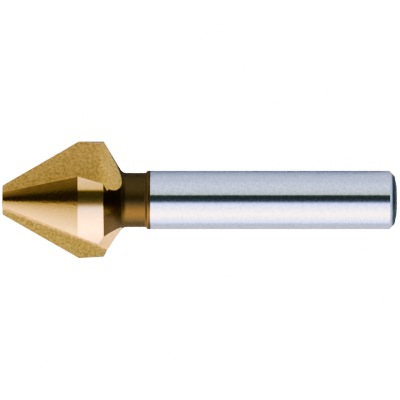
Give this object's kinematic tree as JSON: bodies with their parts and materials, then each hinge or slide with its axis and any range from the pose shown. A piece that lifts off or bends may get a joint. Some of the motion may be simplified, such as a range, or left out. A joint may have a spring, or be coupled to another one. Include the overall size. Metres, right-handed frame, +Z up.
{
  "type": "countersink bit",
  "caption": "Countersink bit with a conical fluted cutting head, a relieved neck and a plain round shank, lying on its side.",
  "frame": {"origin": "on the floor, under the middle of the lying bit's bounding box", "axes": "+X towards the shank's end, +Z up; the bit's axis lies in the XZ plane and leans 4.616 degrees down towards the shank"},
  "size_m": [0.0672, 0.02, 0.0192],
  "materials": {
    "tool_steel": "ground; the head and neck carry a gold-coloured hard coating"
  },
  "bodies": {
    "root": {"countersink_bit": "tool_steel"}
  },
  "joints": []
}
